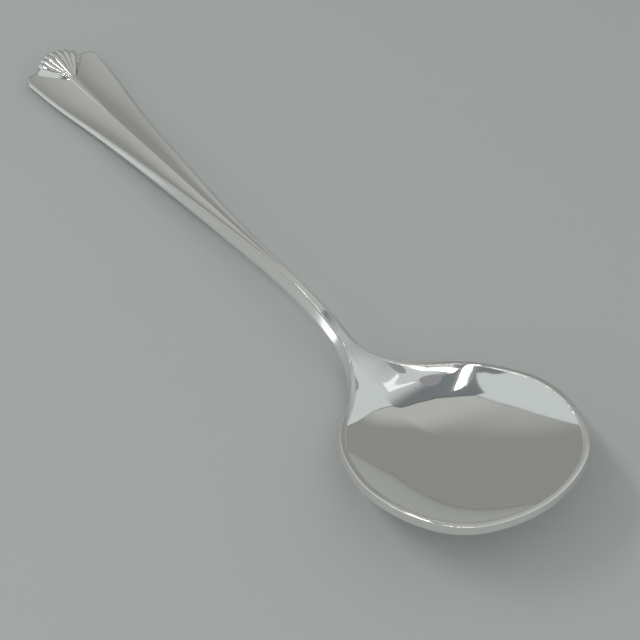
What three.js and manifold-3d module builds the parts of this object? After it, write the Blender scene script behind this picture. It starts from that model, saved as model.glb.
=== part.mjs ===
// A jam spoon with a fluted fan at the end of its handle. Millimetres, +Z up.
// X runs along the spoon towards the tip of the bowl and Y across it.
// The origin is the small flat under the bowl on which the spoon rests.

import * as THREE from 'three';
import { mergeVertices } from 'three/addons/utils/BufferGeometryUtils.js';
import Module from 'manifold-3d';

const wasm = await Module();
wasm.setup();

// Distances along the spoon, all measured from the end of the fan
const LENGTH = 145;
const LOBE_END_AT = 1.9;
const SHOULDER_AT = 5;
const FAN_PIVOT_AT = 8.3;
const DROP_POINT_AT = 24;
const JOINT_AT = 97;
const REST_AT = 114;
const BOWL_CENTRE_AT = 124;

// Handle: half width of the front face, height of its edges, and height of the back along the middle
const FACE_HALF_WIDTH = [
  [-2, 8.3], [4, 7.7], [10, 7.1], [16, 6.3], [22, 5.35], [29, 4.45], [42, 3.1], [55, 1.85], [67, 1],
  [80, 0.56], [91, 0.54], [97, 0.86],
];
const HANDLE_EDGE_HEIGHT = [
  [-2, 2.2], [8, 2.25], [22, 2.63], [42, 4.31], [62, 6], [80, 7.7], [88, 7.48], [97, 5.38],
];
const HANDLE_BACK_HEIGHT = [
  [-2, 0.15], [10, -0.06], [20, 0.16], [42, 1.51], [62, 2.79], [80, 4.25], [88, 4.13], [97, 2.31],
];
const BEVEL_HEIGHT = [[-2, 0.5], [22, 0.75], [45, 1.3], [70, 1.9], [97, 1.9]];
const BEVEL_RUN_PER_HEIGHT = 0.53;
const FLUTE_DEPTH = [[-2, 0.42], [30, 0.34], [60, 0.12], [75, 0.02], [97, 0]];
const LOBE_INNER_HALF_WIDTH = 4.3;
const LOBE_OUTER_HALF_WIDTH = 6.2;
const FAN_BACKING_AT = 0.7;

// Bowl: rim outline in plan, from the joint round to the tip
const RIM_OUTLINE = [
  [97, 0.86], [100, 1.95], [103, 3.9], [106, 6.6], [110, 11.5], [114, 14.6], [118, 16.35], [124, 17.85],
  [130.5, 17.55], [136.5, 15.5], [141.3, 11.6], [144.1, 5.9], [145, 0],
];
// Bowl: height of the rim, of the hollow's floor and of the belly, along the middle
const RIM_HEIGHT = [
  [97, 5.38], [100, 4.71], [104, 4.3], [108, 4.66], [113, 5.95], [118, 7.7], [124, 9.85], [131, 11.82],
  [145, 14.7],
];
const FLOOR_HEIGHT = [
  [97, 5.35], [100, 4.49], [103, 3.55], [106, 2.64], [109, 1.77], [113, 1.2], [117, 1.53], [122, 2.75],
  [127, 4.43], [131, 5.95], [135, 7.67], [139, 9.95], [142, 12.2], [144, 14.5],
];
const BELLY_HEIGHT = [
  [97, 2.31], [101, 1.4], [105, 0.65], [109, 0.15], [113, -0.1], [116, 0.05], [119, 0.65], [122, 1.6],
  [127, 3.27], [131, 4.75], [135, 6.39], [139, 8.5], [142, 10.55], [144.5, 12.86], [145.2, 13.7],
];
const RIM_WIDTH = 1;
const RIM_DROP = 1;
const NECK_RIM_WIDTH = 0.3;
const BOWL_WALL_BULGE = 0.1;

// Fan: a sector of ribs round its pivot, standing on a flat seat cut into the handle
const SEAT_HEIGHT = 1.2;
const FAN_HALF_ANGLE = THREE.MathUtils.degToRad(38);
const FAN_RADIUS = 8;
const FAN_SIDE_SHORTER = 0.9;
const FAN_RIBS = 8;
const RIB_HEIGHT = 0.32;
const SCALLOP = 0.3;
const FAN_RISE = 1.25;
const DROP_HALF_WIDTH = 1.1;
const DROP_RISE = 0.3;
const SEAT_GAP = 0.3;
const SEAT_RUNS_PAST = 3;
const SEAT_CUT_TOP = 9;

const SILVER = { color: 0xc9c8c3, roughness: 0.12, metalness: 1 };

// A natural cubic spline through stations of [distance along the spoon, value]
function smoothThrough(stations) {
  const n = stations.length;
  const bend = new Array(n).fill(0);
  const carry = new Array(n).fill(0);
  for (let i = 1; i < n - 1; i++) {
    const [x0, y0] = stations[i - 1];
    const [x1, y1] = stations[i];
    const [x2, y2] = stations[i + 1];
    const share = (x1 - x0) / (x2 - x0);
    const pivot = share * bend[i - 1] + 2;
    bend[i] = (share - 1) / pivot;
    const turn = (y2 - y1) / (x2 - x1) - (y1 - y0) / (x1 - x0);
    carry[i] = ((6 * turn) / (x2 - x0) - share * carry[i - 1]) / pivot;
  }
  for (let i = n - 2; i >= 0; i--) {
    bend[i] = bend[i] * bend[i + 1] + carry[i];
  }
  return (at) => {
    let i = 0;
    while (i < n - 2 && at > stations[i + 1][0]) i++;
    const [x0, y0] = stations[i];
    const [x1, y1] = stations[i + 1];
    const step = x1 - x0;
    const a = (x1 - at) / step;
    const b = (at - x0) / step;
    const curve = (a ** 3 - a) * bend[i] + (b ** 3 - b) * bend[i + 1];
    return a * y0 + b * y1 + (curve * step * step) / 6;
  };
}

const faceHalfWidth = smoothThrough(FACE_HALF_WIDTH);
const handleEdgeHeight = smoothThrough(HANDLE_EDGE_HEIGHT);
const handleBackHeight = smoothThrough(HANDLE_BACK_HEIGHT);
const bevelHeight = smoothThrough(BEVEL_HEIGHT);
const fluteDepth = smoothThrough(FLUTE_DEPTH);
const rimHeight = smoothThrough(RIM_HEIGHT);
const floorHeight = smoothThrough(FLOOR_HEIGHT);
const bellyHeight = smoothThrough(BELLY_HEIGHT);

const steps = (count) => Array.from({ length: count + 1 }, (_, i) => i / count);
const point = (along, y, z) => new THREE.Vector3(along - REST_AT, y, z);

// A closed body through rings of equal, even length. The two end rings are filled by strips across them.
function skin(rings) {
  const count = rings[0].length;
  const triangles = [];
  for (let i = 0; i + 1 < rings.length; i++) {
    for (let k = 0; k < count; k++) {
      const here = i * count + k;
      const next = i * count + ((k + 1) % count);
      triangles.push(here, next, here + count, next, next + count, here + count);
    }
  }
  const last = (rings.length - 1) * count;
  for (let k = 0; k < count / 2 - 1; k++) {
    const far = count - 1 - k;
    triangles.push(k, far, k + 1, k + 1, far, far - 1);
    triangles.push(last + k, last + k + 1, last + far, last + k + 1, last + far - 1, last + far);
  }
  const geometry = new THREE.BufferGeometry().setFromPoints(rings.flat());
  geometry.setIndex(triangles);
  return geometry;
}

function toSolid(geometry) {
  const bare = geometry.clone();
  bare.deleteAttribute('normal');
  bare.deleteAttribute('uv');
  const merged = mergeVertices(bare, 1e-5);
  return new wasm.Manifold(new wasm.Mesh({
    numProp: 3,
    vertProperties: new Float32Array(merged.attributes.position.array),
    triVerts: new Uint32Array(merged.index.array),
  }));
}

function toMesh(name, solid) {
  const { numProp, vertProperties, triVerts } = solid.getMesh();
  const geometry = new THREE.BufferGeometry();
  geometry.setAttribute('position', new THREE.BufferAttribute(vertProperties, numProp));
  geometry.setIndex(new THREE.BufferAttribute(triVerts, 1));
  geometry.computeVertexNormals();
  const mesh = new THREE.Mesh(geometry, new THREE.MeshStandardMaterial(SILVER));
  mesh.name = name;
  return mesh;
}

// Everything below the table, to trim the resting flats
function belowTable() {
  const slab = new THREE.BoxGeometry(2 * LENGTH, 2 * LENGTH, 10);
  slab.translate(0, 0, -5);
  return toSolid(slab);
}

// The handle's section: a front face with two flutes, bevelled sides and a rounded back
function handleRing(along) {
  const half = faceHalfWidth(along);
  const edge = handleEdgeHeight(along);
  const bevel = bevelHeight(along);
  const backHalf = half + bevel * BEVEL_RUN_PER_HEIGHT;
  const belly = edge - bevel - handleBackHeight(along);
  const face = steps(16).map((t) => {
    const across = 1 - 2 * t;
    const hollow = Math.sin(Math.PI * Math.abs(across));
    return point(along, half * across, edge - fluteDepth(along) * hollow);
  });
  const back = steps(16).map((t) => {
    const turn = Math.PI * t;
    return point(along, -backHalf * Math.cos(turn), edge - bevel - belly * Math.sin(turn));
  });
  return [...face, ...back];
}

// The handle's end in plan: two round-cornered lobes with a rounded backing for the fan between them
function handleEndPrism() {
  const wide = faceHalfWidth(SHOULDER_AT) + bevelHeight(SHOULDER_AT) * BEVEL_RUN_PER_HEIGHT;
  const clear = 1.5 * wide;
  const shoulder = SHOULDER_AT - REST_AT;
  const lobe = LOBE_END_AT - REST_AT;
  const backing = FAN_BACKING_AT - REST_AT;
  const bend = 0.55 * LOBE_INNER_HALF_WIDTH;
  const outline = new THREE.Shape();
  outline.moveTo(JOINT_AT - REST_AT, -clear);
  outline.lineTo(shoulder + 1, -clear);
  outline.lineTo(shoulder, -wide);
  outline.quadraticCurveTo(lobe, -wide, lobe, -LOBE_OUTER_HALF_WIDTH);
  outline.lineTo(lobe, -LOBE_INNER_HALF_WIDTH);
  outline.quadraticCurveTo(backing, -bend, backing, 0);
  outline.quadraticCurveTo(backing, bend, lobe, LOBE_INNER_HALF_WIDTH);
  outline.lineTo(lobe, LOBE_OUTER_HALF_WIDTH);
  outline.quadraticCurveTo(lobe, wide, shoulder, wide);
  outline.lineTo(shoulder + 1, clear);
  outline.lineTo(JOINT_AT - REST_AT, clear);
  const prism = new THREE.ExtrudeGeometry(outline, { depth: 20, bevelEnabled: false, curveSegments: 8 });
  prism.translate(0, 0, -5);
  return toSolid(prism);
}

// The fan: ribs radiating from its pivot, domed between pivot and edge, scalloped at the end.
// With a gap it is the seat that is cut for it, taller than the fan.
function fanSlab(gap) {
  const pivot = FAN_PIVOT_AT + gap / Math.sin(FAN_HALF_ANGLE);
  const rows = steps(7).map((t) => 0.12 + 0.88 * t);
  const columns = steps(4 * FAN_RIBS).map((t) => 2 * t - 1);
  const rings = rows.map((out) => {
    const top = [];
    const bottom = [];
    for (const turn of columns) {
      const rib = Math.abs(Math.cos((turn + 1) * FAN_RIBS * Math.PI / 2 + Math.PI / 2));
      const past = gap > 0 ? SEAT_RUNS_PAST : 0;
      const reach = FAN_RADIUS - FAN_SIDE_SHORTER * turn * turn + SCALLOP * rib + past;
      const angle = turn * FAN_HALF_ANGLE;
      const along = pivot - out * reach * Math.cos(angle);
      const y = out * reach * Math.sin(angle);
      const dome = FAN_RISE * Math.sin(Math.PI * (0.12 + 0.72 * out)) * (1 - 0.35 * turn * turn);
      const height = handleEdgeHeight(along) + dome + RIB_HEIGHT * rib * out;
      top.push(point(along, y, gap > 0 ? SEAT_CUT_TOP : height));
      bottom.push(point(along, y, SEAT_HEIGHT));
    }
    return [...top, ...bottom.reverse()];
  });
  return toSolid(skin(rings));
}

// The pointed drop below the fan, a low ridge that narrows to its point
function dropSlab(gap) {
  const rings = steps(10).map((t) => {
    const along = THREE.MathUtils.lerp(FAN_PIVOT_AT - 2.2, DROP_POINT_AT + gap, t);
    const half = DROP_HALF_WIDTH * (1 - t) ** 0.8 + 0.12 + gap;
    const rise = DROP_RISE * (1 - 0.7 * t);
    const top = [];
    const bottom = [];
    for (const across of [1, 0.5, 0, -0.5, -1]) {
      const height = handleEdgeHeight(along) + rise * (1 - 0.4 * across * across);
      top.push(point(along, half * across, gap > 0 ? SEAT_CUT_TOP : height));
      bottom.push(point(along, half * across, SEAT_HEIGHT));
    }
    return [...top, ...bottom.reverse()];
  });
  return toSolid(skin(rings));
}

// Half width of a plan outline, from points that run from the joint to the tip on the +Y side
function halfWidthOf(outline) {
  return (along) => {
    let i = 0;
    while (i < outline.length - 2 && along > outline[i + 1].x) i++;
    const [a, b] = [outline[i], outline[i + 1]];
    const share = THREE.MathUtils.clamp((along - a.x) / (b.x - a.x), 0, 1);
    return THREE.MathUtils.lerp(a.y, b.y, share);
  };
}

// The bowl: the rim outline drawn in towards the middle, once for the hollow and once for the belly
function bowlSkin() {
  const half = RIM_OUTLINE.map(([along, y]) => new THREE.Vector2(along, y));
  const mirrored = half.slice(0, -1).reverse().map((p) => new THREE.Vector2(p.x, -p.y));
  const curve = new THREE.SplineCurve([...half, ...mirrored]);
  const rim = curve.getSpacedPoints(64);
  rim[0].x = JOINT_AT;
  rim[64].x = JOINT_AT;
  const neck = [-0.5, 0, 0.5].map((share) => new THREE.Vector2(JOINT_AT, share * RIM_OUTLINE[0][1]));
  const loop = [...rim, ...neck];
  const count = loop.length;
  const inward = loop.map((p, i) => {
    const along = loop[(i + 1) % count].clone().sub(loop[(i - 1 + count) % count]).normalize();
    return new THREE.Vector2(along.y, -along.x);
  });
  const settled = (along) => THREE.MathUtils.smoothstep(along, JOINT_AT, JOINT_AT + 11);

  const inner = loop.map((p, i) => {
    const width = THREE.MathUtils.lerp(NECK_RIM_WIDTH, RIM_WIDTH, settled(p.x));
    return p.clone().addScaledVector(inward[i], width);
  });
  const outer = loop.map((p, i) => {
    const neckRun = bevelHeight(JOINT_AT) * BEVEL_RUN_PER_HEIGHT;
    const bulge = THREE.MathUtils.lerp(neckRun, BOWL_WALL_BULGE, settled(p.x));
    if (p.x === JOINT_AT) {
      return new THREE.Vector2(JOINT_AT, p.y * (1 + neckRun / RIM_OUTLINE[0][1]));
    }
    return p.clone().addScaledVector(inward[i], -bulge);
  });
  const innerHalf = halfWidthOf(inner.slice(0, 33));
  const outerHalf = halfWidthOf(outer.slice(0, 33));
  const drop = (along) => THREE.MathUtils.lerp(bevelHeight(JOINT_AT), RIM_DROP, settled(along));
  const parabola = (y, width) => Math.max(0, 1 - (y / Math.max(width, 1e-6)) ** 2);

  const hollow = (p) => {
    const edge = rimHeight(p.x);
    return edge - Math.max(0, edge - floorHeight(p.x)) * parabola(p.y, innerHalf(p.x));
  };
  // The belly's section is half an ellipse at the neck, as on the handle, and a parabola in the bowl
  const belly = (p) => {
    const edge = rimHeight(p.x) - drop(p.x);
    const power = THREE.MathUtils.lerp(0.5, 1, settled(p.x));
    return edge - Math.max(0, edge - bellyHeight(p.x)) * parabola(p.y, outerHalf(p.x)) ** power;
  };
  const centre = new THREE.Vector2(BOWL_CENTRE_AT, 0);
  const drawn = (outline, share, height) => outline.map((p) => {
    const q = centre.clone().lerp(p, share);
    return point(q.x, q.y, height(q));
  });
  const shares = steps(9).map((t) => Math.sin((Math.PI / 2) * (0.07 + 0.93 * t)));
  const inside = shares.map((share) => drawn(inner, share, hollow));
  const outside = shares.map((share) => drawn(outer, share, belly));
  const top = loop.map((p) => point(p.x, p.y, rimHeight(p.x)));
  return skin([...inside, top, ...outside.reverse()]);
}

const table = belowTable();
const bowl = toSolid(bowlSkin()).subtract(table);
const handleStations = steps(48).map((t) => THREE.MathUtils.lerp(-1.5, JOINT_AT, t));
const handle = toSolid(skin(handleStations.map(handleRing)))
  .intersect(handleEndPrism())
  .subtract(table)
  .subtract(fanSlab(SEAT_GAP))
  .subtract(dropSlab(SEAT_GAP));
const fan = fanSlab(0).add(dropSlab(0));

const spoon = new THREE.Group();
spoon.name = 'jam_spoon';
spoon.add(toMesh('bowl', bowl));
spoon.add(toMesh('handle', handle));
spoon.add(toMesh('fan_finial', fan));

export default spoon;
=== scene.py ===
import bmesh
import bpy
import numpy as np
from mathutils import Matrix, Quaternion, Vector


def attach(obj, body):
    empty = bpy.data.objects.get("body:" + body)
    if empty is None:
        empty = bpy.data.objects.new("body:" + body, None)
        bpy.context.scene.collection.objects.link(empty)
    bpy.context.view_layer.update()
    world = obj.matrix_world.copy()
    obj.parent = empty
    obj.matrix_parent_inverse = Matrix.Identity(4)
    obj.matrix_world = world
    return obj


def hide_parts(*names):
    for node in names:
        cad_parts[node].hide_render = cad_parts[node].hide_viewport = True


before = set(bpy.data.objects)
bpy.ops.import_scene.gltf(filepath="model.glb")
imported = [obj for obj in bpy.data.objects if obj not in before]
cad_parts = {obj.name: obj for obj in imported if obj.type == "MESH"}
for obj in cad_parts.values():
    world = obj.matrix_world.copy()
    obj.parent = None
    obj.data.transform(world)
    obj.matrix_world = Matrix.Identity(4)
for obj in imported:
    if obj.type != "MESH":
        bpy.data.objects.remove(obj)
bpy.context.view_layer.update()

# Bowl and stem
# One seamless form of polished silver: a fluted stem that narrows to a neck and opens into a shovel bowl.
# Each row of its grid is one section, from the middle line out to the edge, over it and back underneath.
MM = 0.001
WELD_DISTANCE = 0.0005 * MM

# Places along the spoon, all measured in mm from the end of the fan.
CORNER_AT = 4.6
NECK_AT = 97.0
LAG_FROM = 100.0
RIM_SETTLED_AT = 108.0
REST_AT = 114.0
DEEPEST_AT = 122.0
LENGTH = 145.0

# The front edge of the stem and the rim of the bowl: place, half width and height, in mm.
EDGE = (
    (-2, 8.3, 2.2),
    (4, 7.7, 2.23),
    (10, 7.1, 2.27),
    (16, 6.3, 2.37),
    (22, 5.35, 2.63),
    (29, 4.45, 3.14),
    (42, 3.1, 4.31),
    (55, 1.85, 5.38),
    (67, 1.0, 6.49),
    (80, 0.56, 7.7),
    (88, 0.54, 7.48),
    (93, 0.58, 6.52),
    (97, 0.86, 5.38),
    (100, 1.95, 4.71),
    (103, 3.9, 4.33),
    (106, 6.6, 4.39),
    (110, 11.5, 5.08),
    (114, 14.6, 6.26),
    (118, 16.35, 7.7),
    (124, 17.85, 9.85),
    (130.5, 17.55, 11.71),
    (136.5, 15.5, 13.02),
    (141.3, 11.6, 13.96),
    (144.1, 5.9, 14.51),
    (LENGTH, 0, 14.7),
)
EDGE_STEPS = 12000

# Sizes that change along the spoon: place and size, in mm.
FLUTE_DEPTH = ((-2, 0.21), (30, 0.18), (60, 0.07), (75, 0.01), (97, 0), (145, 0))
BEVEL_HEIGHT = ((-2, 0.5), (22, 0.75), (45, 1.3), (70, 1.9), (97, 1.9), (110, 1.9), (145, 1.9))
UNDERSIDE_HEIGHT = (
    (-2, 0.15),
    (10, -0.06),
    (20, 0.16),
    (42, 1.51),
    (62, 2.79),
    (80, 4.25),
    (88, 4.13),
    (97, 2.31),
    (101, 1.4),
    (105, 0.65),
    (109, 0.15),
    (113, -0.1),
    (116, 0.05),
    (119, 0.65),
    (122, 1.6),
    (125, 2.75),
)
HOLLOW_DEPTH = (
    (94, 0),
    (97, 0.03),
    (100, 0.22),
    (103, 0.85),
    (106, 1.95),
    (109, 3.35),
    (113, 4.7),
    (117, 5.4),
    (122, 5.6),
    (127, 5.2),
)
HOLLOW_FROM = HOLLOW_DEPTH[0][0]

# Shape of the sections. Widths, rounds and reaches are in mm.
SECTION_POWER = 1.85
STEM_ARCH_POWER = 0.5
LAG_POWER = 1.75
RIDGE_SHARE = 1.4
RIDGE_POWER = 3
FLUTE_EDGE_POWER = 4
RIM_WIDTH = 1.0
RIM_INNER_ROUND = 0.25
RIM_OUTER_ROUND = 0.35
STEM_EDGE_WIDTH = 0.15
STEM_EDGE_ROUND = 0.12
BEVEL_RUN_PER_HEIGHT = 0.53
BOWL_WALL_BULGE = 0.1

# The end of the stem: two lobes with a backing for the fan between them.
END_LENGTH = 14.0
END_ROUND = 0.35
END_PINCH = 0.35
LOBE_REACH = 1.9
LOBE_SQUARENESS = 12
BACKING_REACH = 1.1
BACKING_PART = 0.55

# Points of the grid. The face with its edge and the wall with the underside have equally many.
ROWS = 420
END_ROWS = 4
FACE_POINTS = 40
INNER_ROUND_POINTS = 5
CREST_POINTS = 4
OUTER_ROUND_POINTS = 6
WALL_POINTS = 6
UNDER_POINTS = FACE_POINTS + INNER_ROUND_POINTS + CREST_POINTS + OUTER_ROUND_POINTS - WALL_POINTS

# Polished silver: its colour, the painted shade laid into its recesses, and what varies its shine.
SILVER = (0.93, 0.915, 0.885)
# Colour of the painted shade in the fan's grooves and at the foot of its flared sides.
PAINTED_SHADE = (0.2, 0.185, 0.17)
CLOUD_SCALE = 260
CLOUD_DETAIL = 4
WIPE_SCALE = (300, 2600, 2600)
WIPE_DETAIL = 3
WIPE_STRENGTH = 0.02
WIPE_DEPTH = 0.02 * MM
LEAST_ROUGHNESS = 0.015
CLOUD_ROUGHNESS = 0.05
WIPE_ROUGHNESS = 0.03


def spline(knots, values):
    """Natural cubic spline through rows of values: its second slopes solve one three-banded system."""
    knots = np.asarray(knots, float)
    values = np.asarray(values, float)
    step = np.diff(knots)
    inner = np.arange(1, len(knots) - 1)
    system = np.eye(len(knots))
    system[inner, inner - 1] = step[:-1]
    system[inner, inner] = 2 * (step[:-1] + step[1:])
    system[inner, inner + 1] = step[1:]
    turn = np.zeros_like(values)
    turn[1:-1] = 6 * np.diff(np.diff(values, axis=0) / step[:, None], axis=0)
    bend = np.linalg.solve(system, turn)

    def curve(at):
        """Between two knots: the straight line plus a cubic that bends it and is 0 at both."""
        left = np.clip(np.searchsorted(knots, at) - 1, 0, len(step) - 1)
        width = step[left][:, None]
        after = (at[:, None] - knots[left][:, None]) / width
        before = 1 - after
        cubic = (before**3 - before) * bend[left] + (after**3 - after) * bend[left + 1]
        return before * values[left] + after * values[left + 1] + cubic * width**2 / 6

    return curve


def profile(stations, at):
    """One size along the spoon: the natural spline through (place, size) stations."""
    place, size = np.array(stations, float).T
    return spline(place, size[:, None])(np.ravel(at))[:, 0].reshape(np.shape(at))


def ease(start, end, at):
    """Smooth step from 0 at the start to 1 at the end, level at both."""
    part = np.clip((at - start) / (end - start), 0, 1)
    return part * part * (3 - 2 * part)


def edge_points():
    """Closely spaced points on the edge: a spline by chord length through its stations.

    The spline runs on past the tip as its own mirror image, so that the tip is round.
    """
    near = np.array(EDGE, float)
    both = np.vstack((near, near[-2::-1] * (1, -1, 1)))
    chord = np.concatenate(((0,), np.cumsum(np.linalg.norm(np.diff(both, axis=0), axis=1))))
    points = spline(chord, both)(np.linspace(0, chord[len(near) - 1], EDGE_STEPS + 1))
    return points[points[:, 0] >= CORNER_AT]


EDGE_LINE = edge_points()


def edge_height(at):
    """Height of the edge at a place along the spoon, which the sections and the ornament all follow."""
    return np.interp(at, EDGE_LINE[:, 0], EDGE_LINE[:, 2])


def evenly(points, count):
    """The same line, as a count of points at equal steps of its length."""
    run = np.concatenate(((0,), np.cumsum(np.linalg.norm(np.diff(points, axis=0), axis=1))))
    steps = np.linspace(0, run[-1], count)
    return np.column_stack([np.interp(steps, run, column) for column in points.T])


def skin(name, rings, ends, **attributes):
    """Closed mesh over rings of points in mm: left to right over the top, then right to left underneath.

    The named ends, 0 for the first ring and -1 for the last, are closed by a strip from top to underside.
    """
    rows, count = rings.shape[:2]
    number = np.arange(rows * count).reshape(rows, count)
    onward = np.roll(number, -1, axis=1)
    sides = np.stack((number[:-1], number[1:], onward[1:], onward[:-1]), axis=-1).reshape(-1, 4)
    half = count // 2
    top = number[:, :half]
    under = number[:, :half - 1:-1]
    caps = np.stack((top[:, :-1], top[:, 1:], under[:, 1:], under[:, :-1]), axis=-1)
    faces = np.vstack([sides] + [caps[end][:, ::-1 if end else 1] for end in ends])
    mesh = bpy.data.meshes.new(name)
    mesh.from_pydata((rings.reshape(-1, 3) - (REST_AT, 0, 0)) * MM, [], faces)
    for attribute, values in attributes.items():
        mesh.attributes.new(attribute, "FLOAT", "POINT").data.foreach_set("value", values.ravel())
    shape = bmesh.new()
    shape.from_mesh(mesh)
    bmesh.ops.remove_doubles(shape, verts=shape.verts, dist=WELD_DISTANCE)
    shape.to_mesh(mesh)
    shape.free()
    mesh.shade_smooth()
    piece = bpy.data.objects.new(name, mesh)
    bpy.context.collection.objects.link(piece)
    return piece


class Value:
    """A socket of a node tree, so that shader maths reads as ordinary arithmetic."""

    def __init__(self, tree, socket=None):
        self.tree = tree
        self.socket = socket

    def node(self, kind, inputs, output=0, **settings):
        """Adds any node: settings first, then each input, linked from a Value or set to a plain value."""
        made = self.tree.nodes.new(kind)
        for name, setting in settings.items():
            setattr(made, name, setting)
        for name, value in inputs.items():
            if isinstance(value, Value):
                self.tree.links.new(value.socket, made.inputs[name])
            else:
                made.inputs[name].default_value = value
        return Value(self.tree, made.outputs[output] if made.outputs else None)

    def __add__(self, other):
        return self.node("ShaderNodeMath", {0: self, 1: other}, operation="ADD")

    def __mul__(self, other):
        return self.node("ShaderNodeMath", {0: self, 1: other}, operation="MULTIPLY")

    __radd__ = __add__
    __rmul__ = __mul__


# The numbers of the mix node's colour sockets, which share their names with its other sockets.
MIX_FIRST = 6
MIX_LAST = 7
MIX_RESULT = 2


def blend(factor, first, last):
    """Colour between two others: the first where the factor is 0, the last where it is 1."""
    colours = {"Factor": factor, MIX_FIRST: (*first, 1), MIX_LAST: (*last, 1)}
    return factor.node("ShaderNodeMix", colours, MIX_RESULT, data_type="RGBA")


def body_rings():
    """Rings of points round the spoon, one for each place on the edge, mirrored from one half of it.

    A part runs from 0 on the middle line to 1 at the edge.
    Face: edge height less depth * (1 - part ** SECTION_POWER) less the flute, which falls from a raised ridge
    with the cube of 1 - part and turns up to the edge with the fourth power of part.
    Underside: edge height less bevel less belly * arch. The arch is 1 - part ** SECTION_POWER under the bowl
    and the square root of that under the stem, where it is rounder.
    """
    edge = evenly(EDGE_LINE, ROWS)
    edge[-1, 1] = 0
    course = np.gradient(edge[:, :2], axis=0)
    course[-1] = (0, -1)
    inward = np.column_stack((course[:, 1], -course[:, 0])) / np.linalg.norm(course, axis=1)[:, None]
    at = edge[:, 0]
    settled = ease(NECK_AT, RIM_SETTLED_AT, at)
    ending = np.clip(1 - (at - CORNER_AT) / END_LENGTH, 0, 1) ** 2
    lag = np.clip((at - LAG_FROM) / (LENGTH - LAG_FROM), 0, 1) ** LAG_POWER
    middle = at - (LENGTH - DEEPEST_AT) * lag
    rim = STEM_EDGE_WIDTH + (RIM_WIDTH - STEM_EDGE_WIDTH) * settled
    inner_round = RIM_INNER_ROUND * settled
    outer_round = STEM_EDGE_ROUND + (RIM_OUTER_ROUND - STEM_EDGE_ROUND) * settled
    bevel = profile(BEVEL_HEIGHT, at)
    run = BEVEL_RUN_PER_HEIGHT * bevel * (1 - settled) + BOWL_WALL_BULGE * settled

    def ray(target, part):
        """Places along the spoon and across it, from the middle line to the target; the end leans out."""
        reach = LOBE_REACH * np.sqrt(np.clip(1 - part**LOBE_SQUARENESS, 0, 1))
        reach = reach + BACKING_REACH * (1 - ease(0, BACKING_PART, part))
        along = middle[:, None] + (target[:, :1] - middle[:, None]) * part - ending[:, None] * reach
        return along, target[:, 1:] * part

    def offset(distance, drop):
        """Points at a distance inward from the edge and a drop below it."""
        plan = edge[:, None, :2] + inward[:, None, :] * distance[..., None]
        return np.dstack((plan, edge_height(plan[..., 0]) - drop))

    def rounded(start, corner, end, count):
        """Distances and drops on the quadratic curve from start to end, pulled toward the corner."""
        part = np.linspace(0, 1, count + 1)[None, 1:]
        leaving = (1 - part) ** 2
        pulled = 2 * part * (1 - part)
        arriving = part**2
        return [leaving * first[:, None] + pulled * between[:, None] + arriving * last[:, None]
                for first, between, last in zip(start, corner, end)]

    none = np.zeros(len(edge))
    face_part = np.sin(np.linspace(0, np.pi / 2, FACE_POINTS))[None]
    along, across = ray(edge[:, :2] + inward * rim[:, None], face_part)
    depth = profile(HOLLOW_DEPTH, np.maximum(middle, HOLLOW_FROM))
    below = np.maximum(depth - inner_round, 0)[:, None]
    hollow = inner_round[:, None] + below * (1 - face_part**SECTION_POWER)
    ridge = (1 - face_part) ** RIDGE_POWER
    channel = (1 - ridge) * (1 - face_part**FLUTE_EDGE_POWER)
    flute = profile(FLUTE_DEPTH, at)[:, None] * (channel - RIDGE_SHARE * ridge)
    face = np.dstack((along, across, edge_height(along) - hollow - flute))

    crest_start = rim - inner_round
    inside = offset(*rounded((rim, inner_round), (rim, none), (crest_start, none), INNER_ROUND_POINTS))
    crest_part = np.linspace(0, 1, CREST_POINTS + 1)[None, 1:]
    crest_run = crest_start[:, None] * (1 - crest_part) + outer_round[:, None] * crest_part
    crest = offset(crest_run, 0 * crest_run)
    outside = offset(*rounded((outer_round, none), (none, none), (none, outer_round), OUTER_ROUND_POINTS))

    wall_part = np.linspace(0, 1, WALL_POINTS + 1)[None, 1:]
    wall_drop = outer_round[:, None] * (1 - wall_part) + bevel[:, None] * wall_part
    wall = offset(-run[:, None] * wall_part, wall_drop)
    under_part = np.cos(np.linspace(0, np.pi / 2, UNDER_POINTS + 1))[None, 1:]
    along, across = ray(edge[:, :2] - inward * run[:, None], under_part)
    belly = edge_height(middle) - bevel - profile(UNDERSIDE_HEIGHT, middle)
    arch_power = STEM_ARCH_POWER + (1 - STEM_ARCH_POWER) * settled[:, None]
    arch = np.clip(1 - under_part**SECTION_POWER, 0, 1) ** arch_power
    under = np.dstack((along, across, edge_height(along) - bevel[:, None] - belly[:, None] * arch))
    section = np.concatenate((face, inside, crest, outside, wall, under), axis=1)
    section[..., 2] = np.maximum(section[..., 2], 0)

    turn = np.linspace(np.pi / 2, 0, END_ROWS + 1)[:-1, None]
    first = np.repeat(section[:1], END_ROWS, axis=0)
    first[..., 0] -= END_ROUND * np.sin(turn)
    centre = (first[..., 2].max() + first[..., 2].min()) / 2
    first[..., 2] = centre + (first[..., 2] - centre) * (1 - END_PINCH * (1 - np.cos(turn)))
    section = np.concatenate((first, section))
    half = section.shape[1] // 2
    mirrored = section * (1, -1, 1)
    return np.concatenate((mirrored[:, half - 1:0:-1], section, mirrored[:, -2:half - 1:-1]), axis=1)


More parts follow.
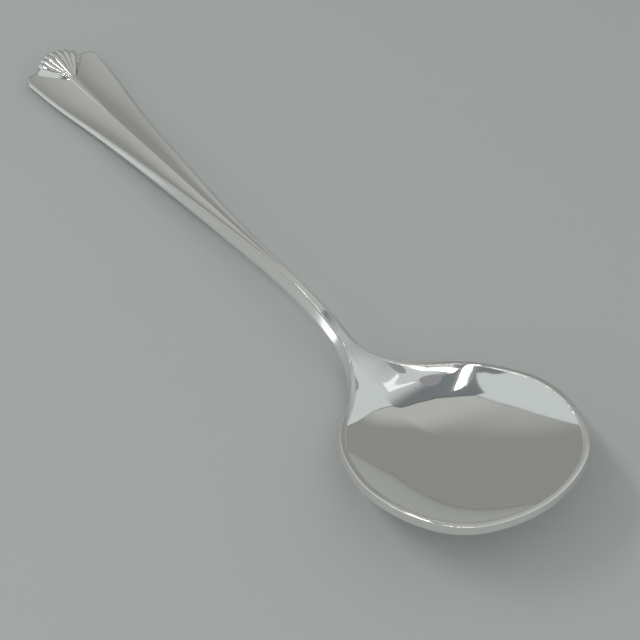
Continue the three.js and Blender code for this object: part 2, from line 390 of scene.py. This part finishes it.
def silver():
    """Polished silver: nearly a mirror, with faint wipe marks, and painted shade: its colour darkens toward a
    shade colour as the recess attribute rises toward 1.
    """
    material = bpy.data.materials.new("silver")
    material.use_nodes = True
    tree = material.node_tree
    tree.nodes.clear()
    shader = Value(tree)
    place = shader.node("ShaderNodeTexCoord", {}, "Object")
    cloud_inputs = {"Vector": place, "Scale": CLOUD_SCALE, "Detail": CLOUD_DETAIL}
    cloud = shader.node("ShaderNodeTexNoise", cloud_inputs, "Fac")
    stretched = shader.node("ShaderNodeMapping", {"Vector": place, "Scale": WIPE_SCALE})
    wipe = shader.node("ShaderNodeTexNoise", {"Vector": stretched, "Scale": 1, "Detail": WIPE_DETAIL}, "Fac")
    recess = shader.node("ShaderNodeAttribute", {}, "Fac", attribute_name="recess")
    uneven_inputs = {"Height": wipe, "Strength": WIPE_STRENGTH, "Distance": WIPE_DEPTH}
    # The base colour mixes in painted shade where the recess attribute is high.
    surface = shader.node("ShaderNodeBsdfPrincipled", {
        "Base Color": blend(recess, SILVER, PAINTED_SHADE),
        "Metallic": 1.0,
        "Roughness": cloud * CLOUD_ROUGHNESS + wipe * WIPE_ROUGHNESS + LEAST_ROUGHNESS,
        "Normal": shader.node("ShaderNodeBump", uneven_inputs),
    })
    shader.node("ShaderNodeOutputMaterial", {"Surface": surface})
    return material


SILVER_METAL = silver()
body = skin("bowl_and_stem", body_rings(), (0,))
body.data.materials.append(SILVER_METAL)
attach(body, "root")
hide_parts("bowl", "handle")

# Fan
# A half fan of rounded ribs, cast in the same silver, with flared sides that run down to the fluted face.
# It is soldered into the end of the stem, so its underside is sunk below that face. Sizes are in mm.
PIVOT_AT = 9.5
HALF_ANGLE = np.radians(32)
RADIUS = 9.7
SIDE_SHORTER = 1.5
RIBS = 7
RIB_HEIGHT = 0.32
SCALLOP = 0.3
RISE = 1.5
PIVOT_SHARE = 0.12
DOME_END_POWER = 12
SIDE_LOWER = 0.25
FLARE = 0.36
FLARE_POWER = 1.15
SEAT_HEIGHT = 1.2
SUNK = 0.6
FIRST_OUT = 0.08
FAN_ROWS = 40
FLARE_POINTS = 16
RIB_POINTS = 193

# Painted shade: how dark the grooves and the foot of the flared sides are painted, and where it fades.
GROOVE_PAINTED_SHADE = 0.8
GROOVE_BELOW = 0.6
FOOT_PAINTED_SHADE = 0.9
FOOT_END = 0.45
FOOT_FADE = 0.15


def fan_rings():
    """Polar grid: out from the pivot, turn from side to side; a dome plus ribs that deepen toward the rim.

    Past the outermost ribs the height falls to the sunk foot by a share (1 - flare) ** FLARE_POWER.
    """
    wide = 1 + FLARE
    left_flare = np.linspace(-wide, -1, FLARE_POINTS)[:-1]
    right_flare = np.linspace(1, wide, FLARE_POINTS)[1:]
    turn = np.concatenate((left_flare, np.linspace(-1, 1, RIB_POINTS), right_flare))[None]
    out = np.linspace(FIRST_OUT, 1, FAN_ROWS)[:, None]
    within = np.clip(turn, -1, 1)
    flare = np.clip((np.abs(turn) - 1) / FLARE, 0, 1)
    rib = np.sqrt(np.abs(np.sin((within + 1) * RIBS * np.pi / 2)))
    reach = RADIUS - SIDE_SHORTER * within**2 + SCALLOP * rib
    angle = turn * HALF_ANGLE
    along = PIVOT_AT - out * reach * np.cos(angle)
    dome = RISE * (PIVOT_SHARE + out - out**DOME_END_POWER) * (1 - SIDE_LOWER * within**2)
    stand = (dome + RIB_HEIGHT * rib * out + SUNK) * (1 - flare) ** FLARE_POWER - SUNK
    top = np.dstack((along, out * reach * np.sin(angle), edge_height(along) + stand))
    under = top * (1, 1, 0) + (0, 0, SEAT_HEIGHT)
    # Painted shade: the grooves between the ribs and the foot of the flared sides are darkened in colour
    # through the recess attribute.
    groove = np.clip(1 - rib / GROOVE_BELOW, 0, 1) * (flare == 0) * np.ones_like(out)
    foot = (flare > 0) * np.clip((FOOT_END - out) / FOOT_FADE, 0, 1)
    recess = GROOVE_PAINTED_SHADE * groove + FOOT_PAINTED_SHADE * foot
    shape = np.concatenate((top, under[:, ::-1]), axis=1)[::-1]
    shade = np.concatenate((recess, 0 * recess), axis=1)[::-1]
    return shape, shade


fan_shape, fan_recess = fan_rings()
fan = skin("fan", fan_shape, (0, -1), recess=fan_recess)
fan.data.materials.append(SILVER_METAL)
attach(fan, "root")
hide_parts("fan_finial")

# Drop
# A long pointed drop under the fan, a low flat-topped wedge on the ridge between the two flutes.
# It is one casting with the fan and is sunk into the face like it. Sizes are in mm.
DROP_START_AT = 6.5
DROP_POINT_AT = 24.7
DROP_HALF_WIDTH = 1.15
DROP_POINT_HALF_WIDTH = 0.04
DROP_TAPER_POWER = 0.8
DROP_RISE = 0.45
DROP_RISE_POWER = 4
DROP_CROWN = 0.25
DROP_TOP_PART = 0.7
DROP_ROWS = 60
DROP_POINTS = 25


def drop_rings():
    """Sections from the point to the start: a slightly crowned top and sides that flare to a sunk foot.

    The rise falls off toward the point with 1 - part ** DROP_RISE_POWER.
    """
    part = np.linspace(1, 0, DROP_ROWS)[:, None]
    across = np.linspace(-1, 1, DROP_POINTS)[None]
    along = DROP_START_AT + (DROP_POINT_AT - DROP_START_AT) * part + 0 * across
    half = DROP_HALF_WIDTH * (1 - part) ** DROP_TAPER_POWER + DROP_POINT_HALF_WIDTH
    side = np.clip((np.abs(across) - DROP_TOP_PART) / (1 - DROP_TOP_PART), 0, 1)
    rise = DROP_RISE * (1 - part**DROP_RISE_POWER)
    stand = rise * (1 - DROP_CROWN * across**2) * (1 - side) - SUNK * side
    top = np.dstack((along, half * across, edge_height(along) + stand))
    under = top * (1, 1, 0) + (0, 0, SEAT_HEIGHT)
    return np.concatenate((top, under[:, ::-1]), axis=1)[::-1]


drop = skin("drop", drop_rings(), (0, -1))
drop.data.materials.append(SILVER_METAL)
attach(drop, "root")
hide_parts("fan_finial")

# Table
# A plain pale floor, matt, that carries the soft shadow. Its size is in metres.
FLOOR = (0.54, 0.544, 0.528)
FLOOR_ROUGHNESS = 0.8
FLOOR_SIZE = 6
bpy.ops.mesh.primitive_plane_add(size=FLOOR_SIZE)
floor = bpy.context.object
floor.name = "floor"
floor.data.materials.append(bpy.data.materials.new("floor"))
floor.active_material.use_nodes = True
paint = floor.active_material.node_tree.nodes["Principled BSDF"]
paint.inputs["Base Color"].default_value = (*FLOOR, 1)
paint.inputs["Roughness"].default_value = FLOOR_ROUGHNESS

# Light
# A light tent that the silver mirrors: a pale canopy on the far side and a grey panel near the camera.
# Two bar lamps hang in its roof, and a bright window stands far off to the left.
TENT_HEIGHT = 0.6
FRONT = np.radians(55)
AIR = (0.55, 0.6, 0.605)
world = bpy.data.worlds.new("tent")
world.use_nodes = True
world.node_tree.nodes["Background"].inputs["Color"].default_value = (*AIR, 1)
bpy.context.scene.world = world


def in_tent(forward, right, height):
    """A place in the tent: forward is toward the camera, right as the camera sees it, in tent heights."""
    return TENT_HEIGHT * Vector((
        forward * np.sin(FRONT) + right * np.cos(FRONT),
        right * np.sin(FRONT) - forward * np.cos(FRONT),
        height,
    ))


def at_level(places, level):
    """Corners of a sheet that lies flat at one level of the tent, from its forward and right places."""
    return [(*place, level) for place in places]


def sheet(name, corners, colours, fade=((0, 0), (1, 0))):
    """A glowing flat sheet through its corners; its colour fades from first to last between two places."""
    first, last = [in_tent(*place, 0) for place in fade]
    mesh = bpy.data.meshes.new(name)
    mesh.from_pydata([in_tent(*corner) for corner in corners], [], [range(len(corners))])
    material = bpy.data.materials.new(name)
    material.use_nodes = True
    material.node_tree.nodes.clear()
    shader = Value(material.node_tree)
    place = shader.node("ShaderNodeTexCoord", {}, "Object")
    course = last - first
    along = shader.node("ShaderNodeVectorMath", {0: place, 1: course}, "Value", operation="DOT_PRODUCT")
    away = shader.node("ShaderNodeMapRange", {
        "Value": along,
        "From Min": first.dot(course),
        "From Max": last.dot(course),
    }, interpolation_type="SMOOTHSTEP")
    glow = shader.node("ShaderNodeBsdfPrincipled", {
        "Base Color": (0, 0, 0, 1),
        "Specular IOR Level": 0.0,
        "Emission Color": blend(away, colours[0], colours[-1]),
        "Emission Strength": 1.0,
    })
    shader.node("ShaderNodeOutputMaterial", {"Surface": glow})
    mesh.materials.append(material)
    panel = bpy.data.objects.new(name, mesh)
    bpy.context.collection.objects.link(panel)


# The canopy has a dark hem that shows just past its edge, and a backdrop closes the tent behind it.
CANOPY_NEAR = (0.44, 0.455, 0.44)
CANOPY_FAR = (0.262, 0.269, 0.256)
CANOPY_FADE = ((-0.8, 0), (-1.95, 0))
CANOPY_LEVEL = 1
CANOPY_EDGE = (
    (-10, 13.5),
    (-1.99, 2.33),
    (-1.0, 1.12),
    (-0.82, 0.84),
    (-0.41, 0.05),
    (-0.37, -0.22),
    (-0.43, -0.43),
    (-0.6, -0.63),
    (-0.72, -0.81),
    (-1.12, -0.97),
    (-1.6, -1.17),
    (-10, -4.9),
)
HEM = (0.05, 0.052, 0.055)
HEM_LEVEL = 1.003
HEM_FORWARD = 0.018
HEM_EDGE = [(forward + HEM_FORWARD, right) for forward, right in CANOPY_EDGE]
BACKDROP = ((-10, -11, 0), (-10, 14, 0), (-10, 14, 1), (-10, -11, 1))
sheet("canopy", at_level(CANOPY_EDGE, CANOPY_LEVEL), (CANOPY_NEAR, CANOPY_FAR), CANOPY_FADE)
sheet("canopy_hem", at_level(HEM_EDGE, HEM_LEVEL), (HEM,))
sheet("backdrop", BACKDROP, (CANOPY_FAR,))

# The front panel fades from light to dark and has an oval opening with a bright glow beside it.
PANEL_LIGHT = (0.53, 0.575, 0.585)
PANEL_DARK = (0.17, 0.19, 0.2)
PANEL_FADE = ((0.14, 0.14), (-0.18, -0.18))
PANEL_LEVEL = 1.03
PANEL_EDGE = ((-0.75, -0.9), (-0.5, 0.78), (0.12, 0.14), (0.9, 0.2), (1.5, -0.85), (-0.1, -0.8))
OPENING = (0.27, 0.275, 0.295)
OPENING_LEVEL = 1.02
OPENING_CENTRE = np.array((0.22, -0.28))
OPENING_LONG = np.array((0.24, 0.04))
OPENING_ACROSS = np.array((0.1, 0.13))
OPENING_CORNERS = 24
GLOW = (0.95, 0.97, 0.98)
GLOW_EDGE = ((0.29, -0.12), (0.02, 0.18), (0.04, 0.2), (0.32, -0.09))
around = np.linspace(0, 2 * np.pi, OPENING_CORNERS + 1)[:-1, None]
opening_edge = OPENING_CENTRE + OPENING_LONG * np.cos(around) + OPENING_ACROSS * np.sin(around)
sheet("front_panel", at_level(PANEL_EDGE, PANEL_LEVEL), (PANEL_LIGHT, PANEL_DARK), PANEL_FADE)
sheet("opening", at_level(opening_edge, OPENING_LEVEL), (OPENING,))
sheet("right_glow", at_level(GLOW_EDGE, CANOPY_LEVEL), (GLOW,))

# Two dark rails hang below the left edge of the front panel, and the window stands upright further left.
RAIL_LEVEL = 1.01
FRONT_RAIL = ((-0.16, -0.87), (0.01, -0.76), (0.3, -0.58), (0.88, -0.27), (1.5, 0), (1.5, -0.9))
SIDE_RAIL = (
    (-0.1, -0.74),
    (-0.29, -0.83),
    (-0.37, -0.91),
    (-0.47, -0.975),
    (-0.5, -1.02),
    (-0.5, -1.06),
    (-0.2, -1.15),
    (0.3, -0.9),
)
WINDOW = (1.6, 1.65, 1.7)
WINDOW_CORNERS = ((0.7, -5, 0), (2.5, -5, 0), (2.5, -5, 1.2), (0.7, -5, 1.2))
sheet("front_rail", at_level(FRONT_RAIL, RAIL_LEVEL), (HEM,))
sheet("side_rail", at_level(SIDE_RAIL, RAIL_LEVEL), (PANEL_DARK,))
sheet("left_window", WINDOW_CORNERS, (WINDOW,))


def lamp(name, start, end, width, radiance):
    """A bar lamp at the level of the canopy, between two forward and right places, facing down.

    A flat lamp of even radiance gives off radiance * pi * area.
    """
    start = in_tent(*start, CANOPY_LEVEL)
    end = in_tent(*end, CANOPY_LEVEL)
    light = bpy.data.lights.new(name, "AREA")
    light.shape = "RECTANGLE"
    light.size = (end - start).length
    light.size_y = width * TENT_HEIGHT
    light.energy = radiance * np.pi * light.size * light.size_y
    holder = bpy.data.objects.new(name, light)
    holder.location = (start + end) / 2
    holder.rotation_euler = (0, 0, np.arctan2(end.y - start.y, end.x - start.x))
    bpy.context.collection.objects.link(holder)


lamp("left_lamp", start=(-0.43, -0.66), end=(0.12, -0.66), width=0.08, radiance=17)
lamp("front_lamp", start=(0.15, -0.52), end=(0.93, -0.13), width=0.032, radiance=20)

# Camera
# Stands where the photograph was taken from: a long lens, turned and lifted about a target on the spoon.
TARGET = Vector((-23.55, -0.92, 5.75)) * MM
DISTANCE = 269.1 * MM
AZIMUTH = np.radians(52.71)
ELEVATION = np.radians(48.77)
ROLL = np.radians(0.47)
LENS = 90
SENSOR_WIDTH = 36
NEAREST_SHOWN = 0.01
camera = bpy.data.objects.new("camera", bpy.data.cameras.new("camera"))
camera.data.lens = LENS
camera.data.sensor_width = SENSOR_WIDTH
camera.data.clip_start = NEAREST_SHOWN
outward = np.cos(ELEVATION)
back = Vector((np.sin(AZIMUTH) * outward, -np.cos(AZIMUTH) * outward, np.sin(ELEVATION)))
camera.location = TARGET + back * DISTANCE
camera.rotation_euler = (back.to_track_quat("Z", "Y") @ Quaternion((0, 0, 1), ROLL)).to_euler()
bpy.context.collection.objects.link(camera)
bpy.context.scene.camera = camera
bpy.context.scene.view_settings.view_transform = "Standard"
